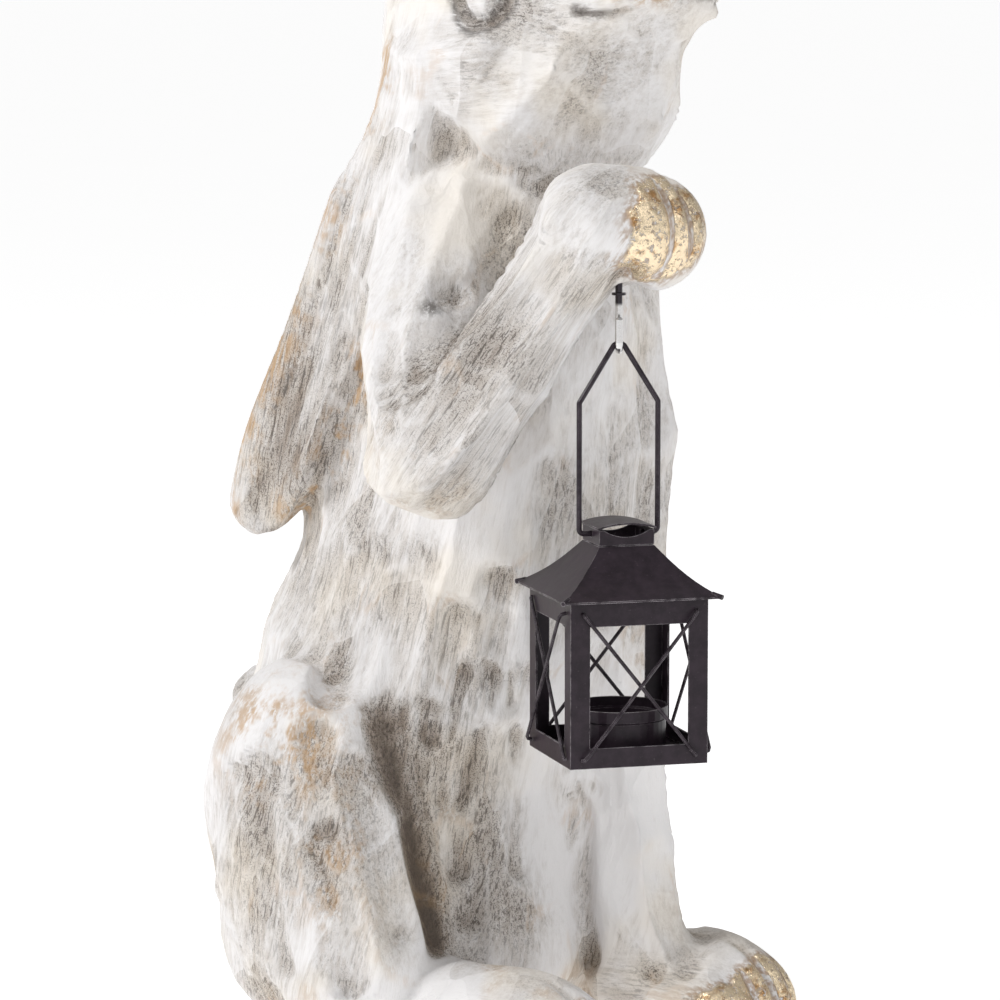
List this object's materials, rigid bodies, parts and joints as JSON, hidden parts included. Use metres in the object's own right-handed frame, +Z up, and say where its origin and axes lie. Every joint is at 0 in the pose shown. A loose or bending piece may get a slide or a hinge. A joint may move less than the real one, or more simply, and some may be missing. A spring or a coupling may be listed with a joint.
{
  "type": "rabbit figurine with lantern",
  "caption": "Seated rabbit figurine carved in a whittled style, one forepaw raised, with a square sheet-metal tealight lantern hanging by a wire bail from a hook under that paw.",
  "frame": {"origin": "on the flat underside the figure stands on, under the front of its body", "axes": "+Z up, -Y the way the figure faces, -X its right side, which holds the lantern"},
  "size_m": [0.2293, 0.3343, 0.5302],
  "materials": {
    "washed_resin": "cast resin or fibre-reinforced plaster, whitewashed over grey and brown stain, with gold on the toes",
    "black_sheet": "black lacquer on thin pressed sheet and wire",
    "bright_steel": "bright plated wire"
  },
  "bodies": {
    "figure": {"rabbit": "washed_resin", "screw_hook": "bright_steel", "bail": "black_sheet"},
    "lantern": {"lantern_frame": "black_sheet", "lantern_base": "black_sheet", "lantern_roof": "black_sheet", "chimney_collar": "black_sheet", "chimney_cap": "black_sheet", "tealight_cup": "black_sheet", "wire_front_falling": "black_sheet", "wire_front_rising": "black_sheet", "wire_right_falling": "black_sheet", "wire_right_rising": "black_sheet", "wire_back_falling": "black_sheet", "wire_back_rising": "black_sheet", "wire_left_falling": "black_sheet", "wire_left_rising": "black_sheet"}
  },
  "joints": [
    {"name": "lantern_swing", "type": "hinge", "parent": "figure", "child": "lantern", "pos_m": [-0.05363, -0.11758, 0.2394], "axis": [0.8572, -0.515, 0], "range_deg": [-100, 28]}
  ]
}
